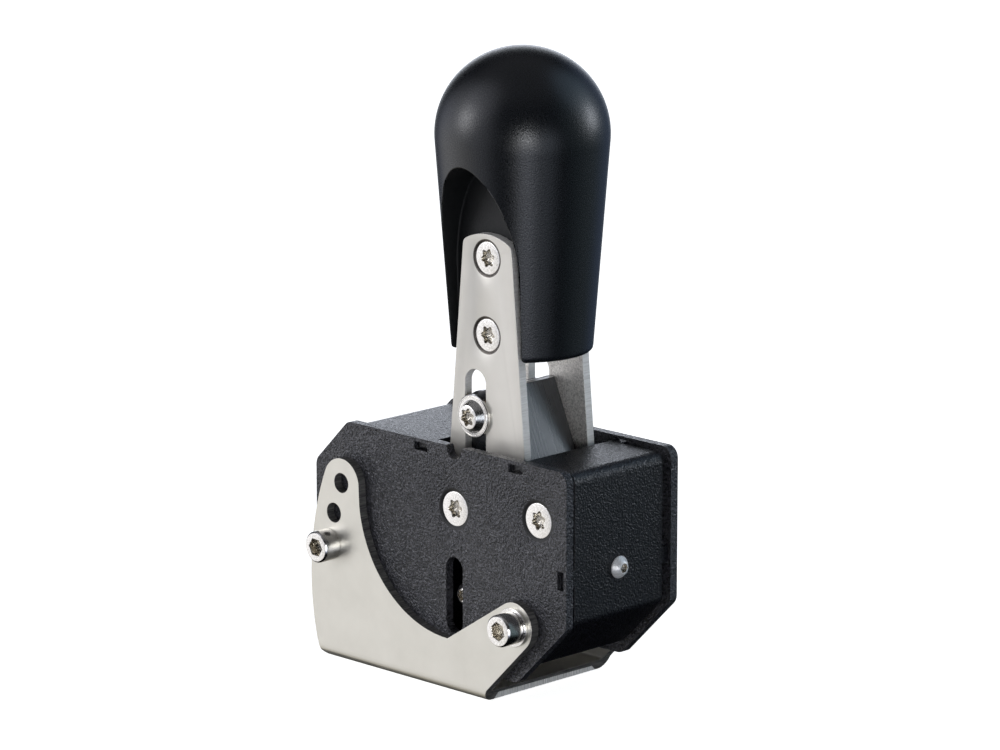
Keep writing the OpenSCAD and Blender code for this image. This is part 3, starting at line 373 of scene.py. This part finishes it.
# Other finishes on some faces of a sheet: its laser-cut edges (the bracket's darker, as painted shade), the
# walls of its countersinks (darker, as painted shade), and the lever plates' inner side, a paler copy of the
# steel as painted bounce light
plateFinishes = [(paintedShadeSink, isSinkAt(plateScrewPoints))]
leverFinishes = [(cutSteel, isCutEdge), (shadedSink, isSinkAt(handleScrewPoints)), (litInnerSteel, isInside)]
otherFinishes = {
    "base_bracket": [(shadedSheetEdge, isCutEdge), (cutFloorSteel, isFloorEnd)],
    "side_plate_near": plateFinishes, "side_plate_far": plateFinishes,
    "lever_plate_near": leverFinishes, "lever_plate_far": leverFinishes,
}


def placePiece(mesh, name, materials, body, nodes, creaseAngle=sharpAngle):
    for material in materials:
        mesh.materials.append(material)
    mesh.shade_smooth()
    mesh.set_sharp_from_angle(angle=radians(creaseAngle))
    piece = bpy.data.objects.new(name, mesh)
    bpy.context.scene.collection.objects.link(piece)
    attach(piece, body)
    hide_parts(*nodes)
    return piece


def addBevel(piece, name, width):
    bevel = piece.modifiers.new(name, "BEVEL")
    bevel.width, bevel.segments = width * mm, 3
    bevel.limit_method, bevel.angle_limit = "ANGLE", radians(sharpAngle)
    bevel.harden_normals = True
    return bevel


def easeEdges(node, name, material, width):
    source = frame["nodes"][node]
    materials = [material]
    bm = bmesh.new()
    bm.from_mesh(source.data)
    bmesh.ops.remove_doubles(bm, verts=bm.verts, dist=mergeReach * mm)
    bmesh.ops.dissolve_limit(bm, angle_limit=radians(flatAngle), verts=bm.verts, edges=bm.edges)
    if node in countersinks:
        breakRims(bm, *countersinks[node])
    if node == "base_bracket":
        trimBracket(bm, bracketTrim)
    for other, belongs in otherFinishes.get(node, []):
        for face in filter(belongs, bm.faces):
            face.material_index = len(materials)
        materials.append(other)
    mesh = bpy.data.meshes.new(name)
    bm.to_mesh(mesh)
    bm.free()
    piece = placePiece(mesh, name, materials, source["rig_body"], [node])
    addBevel(piece, "easedEdges", width)


for node, (name, material, width) in sheetEdges.items():
    easeEdges(node, name, material, width)
print("sheet pieces made:", len(sheetEdges))


# ---- handle: a turned body with an arched pocket in each side

handleShape = {
    # mm; the cone runs from the bottom up to the dome's height
    "middle": 12, "bottom": 104.6, "bottomRadius": 21.7, "domeHeight": 171.2, "domeRadius": 26.7,
    "bottomRound": 1.4, "roundSteps": 3, "arcSteps": 48, "coneRings": (0.012, 0.3, 0.6, 0.985), "sides": 160,
    # pockets: flat floor at this distance across, two legs that spread a little up to a half-ellipse
    "pocketFloor": 12.25, "pocketFoot": 14.6, "pocketHalf": 15.7, "pocketSpring": 131.7, "pocketTop": 163.7,
    "pocketSides": 96, "legStart": 0.02, "legStretch": 1.6, "footWidth": 0.75, "footBelow": 4, "cutReach": 20,
    "rimRound": 0.6,
}
joinReach, tinyReach, weldReach = 0.01, 0.05, 0.15  # mm


# Bmesh operators leave their results in another order each run, which would change what gets merged later
def sortMesh(bm):
    for elements, middle in ((bm.verts, lambda v: v.co), (bm.faces, lambda f: f.calc_center_median())):
        ranked = sorted(elements, key=lambda e: [round(c / mm, 3) for c in middle(e)])
        for rank, element in enumerate(ranked):
            element.index = rank
        elements.sort()


def handleBody(shape):
    bm = bmesh.new()
    bottom, bottomRadius, bottomRound = shape["bottom"], shape["bottomRadius"], shape["bottomRound"]
    domeHeight, domeRadius, arcSteps = shape["domeHeight"], shape["domeRadius"], shape["arcSteps"]
    slope = atan2(domeRadius - bottomRadius, domeHeight - bottom)
    points = [(0, bottom), (bottomRadius - bottomRound, bottom)]
    points += [(bottomRadius - bottomRound * (1 - sin(a)), bottom + bottomRound * (1 - cos(a)))
               for a in [pi / 2 * i / shape["roundSteps"] for i in range(1, shape["roundSteps"] + 1)]]
    dome = [(domeRadius * cos(a), domeHeight + domeRadius * sin(a))
            for a in [-slope + (pi / 2 + slope) * i / arcSteps for i in range(arcSteps)]]
    # Rings beside both rounds keep the shading of the long cone between them straight
    foot = points[-1]
    points += [tuple(a + (b - a) * part for a, b in zip(foot, dome[0])) for part in shape["coneRings"]]
    points += dome + [(0, domeHeight + domeRadius)]
    verts = [bm.verts.new((r * mm, 0, z * mm)) for r, z in points]
    edges = [bm.edges.new(pair) for pair in zip(verts, verts[1:])]
    bmesh.ops.spin(bm, geom=verts + edges, axis=(0, 0, 1), cent=(0, 0, 0), angle=2 * pi, steps=shape["sides"],
                   use_merge=True)
    bmesh.ops.remove_doubles(bm, verts=bm.verts, dist=joinReach * mm)
    sortMesh(bm)
    bmesh.ops.recalc_face_normals(bm, faces=bm.faces)
    bmesh.ops.translate(bm, verts=bm.verts, vec=(shape["middle"] * mm, 0, 0))
    mesh = bpy.data.meshes.new("handleBody")
    bm.to_mesh(mesh)
    bm.free()
    return mesh


# A point of a pocket's outline, from a point of the unit circle: its lower half becomes the two straight legs
def pocketPoint(x, z, shape):
    half, spring = shape["pocketHalf"], shape["pocketSpring"]
    if z >= -shape["legStart"]:
        return half * x, spring + (shape["pocketTop"] - spring) * max(0, z)
    down = min(1, -z * shape["legStretch"])
    half += (shape["pocketFoot"] - half) * down
    across = half * x / shape["footWidth"] if abs(x) < shape["footWidth"] else half * (1 if x > 0 else -1)
    return across, spring - (spring - shape["bottom"] + shape["footBelow"]) * down


def pocketCutter(shape):
    bm = bmesh.new()
    for side in (-1, 1):
        ring = bmesh.ops.create_circle(bm, segments=shape["pocketSides"], radius=1)["verts"]
        for v in ring:
            x, z = pocketPoint(v.co.x, v.co.y, shape)
            v.co = Vector((x + shape["middle"], side * shape["pocketFloor"], z)) * mm
        face = bmesh.ops.contextual_create(bm, geom=[e for e in bm.edges if e.verts[0] in ring])["faces"]
        wall = bmesh.ops.extrude_face_region(bm, geom=face)["geom"]
        moved = [g for g in wall if isinstance(g, bmesh.types.BMVert)]
        bmesh.ops.translate(bm, verts=moved, vec=(0, side * shape["cutReach"] * mm, 0))
    sortMesh(bm)
    bmesh.ops.recalc_face_normals(bm, faces=bm.faces)
    mesh = bpy.data.meshes.new("pocketCutter")
    bm.to_mesh(mesh)
    bm.free()
    return mesh


# The mesh that an object's modifiers make, as a mesh of its own
def settledMesh(thing, name):
    graph = bpy.context.evaluated_depsgraph_get()
    mesh = bpy.data.meshes.new_from_object(thing.evaluated_get(graph), depsgraph=graph)
    mesh.name = name
    return mesh


# Faces of the pockets lie beyond their floor and inside the cone; they take the darker nylon, painted shade
# in the deep pockets
def isPocket(face, shape):
    floorSlack, coneSlack = 0.5, 0.3
    x, y, z = face.calc_center_median() / mm
    up = (z - shape["bottom"]) / (shape["domeHeight"] - shape["bottom"])
    cone = shape["bottomRadius"] + (shape["domeRadius"] - shape["bottomRadius"]) * up
    inCone = 0 < up < 1 and hypot(x - shape["middle"], y) < cone - coneSlack
    return inCone and abs(y) > shape["pocketFloor"] - floorSlack


def makeHandle(shape):
    body = bpy.data.objects.new("handleDraft", handleBody(shape))
    cutter = bpy.data.objects.new("pocketDraft", pocketCutter(shape))
    for thing in (body, cutter):
        bpy.context.scene.collection.objects.link(thing)
    cut = body.modifiers.new("pockets", "BOOLEAN")
    cut.object, cut.operation, cut.solver = cutter, "DIFFERENCE", "EXACT"
    bpy.context.view_layer.update()
    mesh = settledMesh(body, "handleGrip")
    for thing in (body, cutter):
        bpy.data.objects.remove(thing)
    bm = bmesh.new()
    bm.from_mesh(mesh)
    sortMesh(bm)
    bmesh.ops.remove_doubles(bm, verts=bm.verts, dist=weldReach * mm)
    bmesh.ops.dissolve_degenerate(bm, edges=bm.edges, dist=tinyReach * mm)
    for face in bm.faces:
        face.material_index = int(isPocket(face, shape))
    bm.to_mesh(mesh)
    bm.free()
    piece = placePiece(mesh, "handleGrip", [satinNylon, shadedPocketNylon], "lever", ["handle"])
    addBevel(piece, "softRims", shape["rimRound"]).use_clamp_overlap = False
    print("handle made:", len(mesh.polygons), "faces")


makeHandle(handleShape)


# ---- screws: one head and shank, with its socket, set wherever the object has it

def roundLoop(radius):
    return lambda angle: radius


# Six-lobed socket and hexagon socket, each as its radius at an angle
def lobedLoop(radius, lobeDepth=0.135):
    return lambda angle: radius * (1 - lobeDepth + lobeDepth * cos(6 * angle))


def hexLoop(width):
    return lambda angle: width / 2 / cos((angle + pi / 6) % (pi / 3) - pi / 6)


def shapeLoop(verts, outline, height):
    for v in verts:
        angle = atan2(v.co.y, v.co.x)
        v.co = Vector((cos(angle), sin(angle), 0)) * outline(angle) * mm
        v.co.z = height * mm


def growLoop(bm, edges, outline, height):
    grown = bmesh.ops.extrude_edge_only(bm, edges=edges)["geom"]
    shapeLoop([g for g in grown if isinstance(g, bmesh.types.BMVert)], outline, height)
    newEdges = [g for g in grown if isinstance(g, bmesh.types.BMEdge)]
    return [e for e in newEdges if e.verts[0].co.z == e.verts[1].co.z and len(e.link_faces) == 1]


socketShape = {"mouth": 1.06, "mouthDeep": 0.2, "tipRadius": 0.3, "tipDeep": 0.5}


def addScrew(bm, screw, place):
    known = set(bm.verts)
    outline, face = screw["socket"], screw["rings"][0][1]
    mouth = bmesh.ops.create_circle(bm, segments=screw["sides"], radius=1)["verts"]
    shapeLoop(mouth, lambda angle: outline(angle) * socketShape["mouth"], face)
    start = [e for e in bm.edges if e.verts[0] in mouth and e.verts[1] in mouth]
    loop = start
    for radius, height in screw["rings"]:
        loop = growLoop(bm, loop, roundLoop(radius), height)
    bmesh.ops.contextual_create(bm, geom=loop)
    outside = set(bm.faces)
    deep = face - screw["socketDeep"]
    loop = growLoop(bm, start, outline, face - socketShape["mouthDeep"])
    loop = growLoop(bm, loop, outline, deep)
    loop = growLoop(bm, loop, roundLoop(socketShape["tipRadius"]), deep - socketShape["tipDeep"])
    bmesh.ops.contextual_create(bm, geom=loop)
    # The socket's walls take the second material, the darker steel painted as shade
    for wall in set(bm.faces) - outside:
        wall.material_index = 1
    bmesh.ops.transform(bm, matrix=place, verts=[v for v in bm.verts if v not in known])


# Places across Y: on the near side the head looks along -Y, on the far side along +Y
def acrossPlaces(points, seat, turns):
    places = []
    for i, (x, z) in enumerate(points):
        for j, side in enumerate((-1, 1)):
            turn = Matrix.Rotation(radians(turns[(2 * i + j) % len(turns)]), 4, "Z")
            face = Matrix.Rotation(radians(-90 * side), 4, "X")
            places.append(Matrix.Translation((x * mm, side * seat * mm, z * mm)) @ face @ turn)
    return places


def endPlaces(reach, height):
    places = []
    for side in (-1, 1):
        face = Matrix.Rotation(radians(90 * side), 4, "Y")
        places.append(Matrix.Translation((side * reach * mm, 0, height * mm)) @ face)
    return places


# Rings run from the edge of the face round the head to the tip, as radius and height over the seat. A kind of
# head is given by how far its rings lie inside its radius, and below its top or above its seat, in mm
sunkHead = [(0.35, 0), (0.1, 0.06), (0, 0.25), (0.25, 0.5)]
capTop = [(0.75, 0), (0.55, 0.04), (0.12, 0.42), (0, 0.7)]
capFoot = [(0, 0.25), (0.12, 0.05), (0.3, 0)]
buttonFoot = [(0, 0.05), (0.1, 0)]
buttonSteps = 8


def shankRings(radius, tip, tipCut):
    return [(radius, tip + tipCut), (radius - tipCut, tip)]


def sunkRings(headRadius, sunk, shankRadius, tip):
    head = [(headRadius - inwards, -sunk - down) for inwards, down in sunkHead]
    return head + [(shankRadius, -sunk - (headRadius - shankRadius))] + shankRings(shankRadius, tip, 0.6)


def capRings(headRadius, headHeight, shankRadius, tip):
    top = [(headRadius - inwards, headHeight - down) for inwards, down in capTop]
    foot = [(headRadius - inwards, up) for inwards, up in capFoot]
    return top + foot + [(shankRadius, 0)] + shankRings(shankRadius, tip, 0.6)


def buttonRings(headRadius, faceRadius, rim, headHeight, shankRadius, tip):
    # The dome is part of a ball whose middle lies on the screw's axis
    middle = (headRadius ** 2 - faceRadius ** 2 + rim ** 2 - headHeight ** 2) / (2 * (rim - headHeight))
    ball = hypot(headRadius, rim - middle)
    radii = [faceRadius + (headRadius - faceRadius) * i / buttonSteps for i in range(buttonSteps + 1)]
    dome = [(r, middle + (ball ** 2 - r ** 2) ** 0.5) for r in radii]
    foot = [(headRadius - inwards, up) for inwards, up in buttonFoot]
    return dome + foot + [(shankRadius, 0)] + shankRings(shankRadius, tip, 0.5)


screws = {
    # piece: node, metal of the head, socket and its depth, sides of the round, rings in mm, and places:
    # points in X and Z, distance of the seat from the middle, and turns of the sockets in degrees
    "platePins": {
        "node": "plate_screws", "metal": brightSteel, "socket": lobedLoop(2.9), "socketDeep": 1.5,
        "sides": 96,
        "rings": sunkRings(5.45, 0.4, 3, -12),
        "places": acrossPlaces(plateScrewPoints, 24.35, [8, 31, 20, 47]),
    },
    "handlePins": {
        "node": "handle_screws", "metal": brightSteel, "socket": lobedLoop(2.8), "socketDeep": 1.5,
        "sides": 96,
        "rings": sunkRings(5.05, 0.35, 3, -12),
        "places": acrossPlaces(handleScrewPoints, 15.25, [14, 40, 3, 26]),
    },
    "tiltPivotPins": {
        "node": "tilt_pivot_screws", "metal": brightSteel, "socket": hexLoop(5), "socketDeep": 3,
        "sides": 96,
        "rings": capRings(5, 6, 3, -16),
        "places": acrossPlaces([(35.5, 26.5)], 28.3, [12, 44]),
    },
    "tiltLockPins": {
        "node": "tilt_lock_screws", "metal": brightSteel, "socket": hexLoop(5), "socketDeep": 3,
        "sides": 96,
        "rings": capRings(5, 6, 3, -11),
        "places": acrossPlaces([(-45.501, 37.164)], 27.4, [27, 5]),
    },
    # a low head, a groove, a wide flange that stands 0.02 mm off the plate it slides on
    "clampPins": {
        "node": "height_clamp_screws", "metal": brightSteel, "socket": lobedLoop(2.75), "socketDeep": 1.7,
        "sides": 96,
        "rings": [(3.5, 3.5), (3.72, 3.42), (3.95, 3.1), (4.9, 1.5), (5.1, 1.22), (5.3, 1.2), (6, 1.2),
                  (6.08, 1.1), (6.16, 1.2), (6.4, 1.2), (6.66, 1), (6.7, 0.8), (6.7, 0.25), (6.5, 0), (3, 0)]
        + shankRings(3, -12, 0.6),
        "places": acrossPlaces([(7, 85.2)], 15.27, [18, 36]),
    },
    "carriagePins": {
        "node": "carriage_screws", "metal": brightSteel, "socket": lobedLoop(1.9), "socketDeep": 1.3,
        "sides": 72,
        "rings": buttonRings(3.8, 1.95, 0.4, 2.2, 2, -6),
        "places": acrossPlaces([(7, 29.5)], 18.92, [10, 33]),
    },
    "stopPins": {
        "node": "stop_screws", "metal": litEndSteel, "socket": hexLoop(2.5), "socketDeep": 1.2,
        "sides": 72,
        "rings": [(1.75, 2.2), (1.92, 2.12), (3.3, 0.62), (3.46, 0.4), (3.5, 0.1), (3.4, 0), (2, 0)]
        + shankRings(2, -8, 0.5),
        "places": endPlaces(53.1, 43.4),
    },
}
screwCrease = 28  # degrees, so that the ridges round a head stay crisp


def makeScrews(name, screw):
    bm = bmesh.new()
    for place in screw["places"]:
        addScrew(bm, screw, place)
    sortMesh(bm)
    bmesh.ops.recalc_face_normals(bm, faces=bm.faces)
    mesh = bpy.data.meshes.new(name)
    bm.to_mesh(mesh)
    bm.free()
    node = screw["node"]
    body = frame["nodes"][node]["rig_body"]
    placePiece(mesh, name, [screw["metal"], shadedSocketSteel], body, [node], screwCrease)


for name, screw in screws.items():
    makeScrews(name, screw)
print("screws made:", len(screws))


# ---- pieces of the frame that show as they are, with their finish

finishes = {
    "cover_spacer": zincSteel, "tilt_pivot_spacer": zincSteel, "tilt_lock_nuts": zincSteel,
    "stop_posts": zincSteel, "clamp_rod": zincSteel, "lever_axle": greySteel,
    "board_screws": brightSteel, "arm_screws": brightSteel, "guide_bracket_screws": blackSteel,
    "pivot_bushes": bronze, "guide_bushes": bronze, "board_spacers": brass, "handle_inserts": brass,
    "data_port": nickelPlate, "sensor_magnet": nickelPlate, "carriage_magnets": nickelPlate,
    "stop_buffers": rubber, "sensor_board": boardResin,
}

for node, material in finishes.items():
    mesh = frame["nodes"][node].data
    mesh.materials.clear()
    mesh.materials.append(material)
print("finishes given:", len(finishes))


# ---- studio

def makeFloor(values):
    bm = bmesh.new()
    bmesh.ops.create_grid(bm, x_segments=1, y_segments=1, size=values["floorSize"] / 2)
    mesh = bpy.data.meshes.new("floor")
    bm.to_mesh(mesh)
    bm.free()
    colour = linearColour(values["floor"])
    acrylic = newMaterial("litMattAcrylic", {"Base Color": colour, "Roughness": 0.9, "Emission Color": colour,
                                             "Emission Strength": values["floorGlow"]})[0]
    mesh.materials.append(acrylic)
    floor = bpy.data.objects.new("floor", mesh)
    bpy.context.scene.collection.objects.link(floor)
    # The glows below the horizon stand for the table in reflections, so that its own glow isn't counted twice
    floor.visible_glossy = floor.visible_diffuse = floor.visible_shadow = False


# The light of the room comes from round soft panels far away, and a camera sees it as white
def makeRoom(values):
    world = bpy.data.worlds.new("room")
    world.use_nodes = True
    tree = world.node_tree
    way = addNode(tree, "ShaderNodeTexCoord").outputs["Generated"]
    total = addNode(tree, "ShaderNodeCombineXYZ").outputs[0]
    for azimuth, elevation, ends, full, radiance in values["glows"].values():
        turn, rise = radians(azimuth), radians(elevation)
        middle = (cos(rise) * cos(turn), cos(rise) * sin(turn), sin(rise))
        near = addNode(tree, "ShaderNodeVectorMath", {"operation": "DOT_PRODUCT"}, {1: middle}, {0: way})
        glow = addNode(tree, "ShaderNodeMapRange", {"interpolation_type": "SMOOTHSTEP"},
                       {"From Min": cos(radians(ends)), "From Max": cos(radians(full))},
                       {"Value": near.outputs["Value"]})
        tinted = addNode(tree, "ShaderNodeVectorMath", {"operation": "SCALE"}, {0: radiance},
                         {"Scale": glow.outputs["Result"]})
        total = addNode(tree, "ShaderNodeVectorMath", {"operation": "ADD"},
                        links={0: total, 1: tinted.outputs["Vector"]}).outputs["Vector"]
    seen = addNode(tree, "ShaderNodeMix", {"data_type": "RGBA"}, {7: (1, 1, 1, 1)})
    tree.links.new(addNode(tree, "ShaderNodeLightPath").outputs["Is Camera Ray"], seen.inputs[0])
    tree.links.new(total, seen.inputs[6])
    tree.links.new(seen.outputs[2], tree.nodes["Background"].inputs["Color"])
    bpy.context.scene.world = world


makeCamera(cameraValues)
makeFloor(studio)
makeRoom(studio)
bpy.context.scene.view_settings.view_transform = "Standard"
print("studio made")
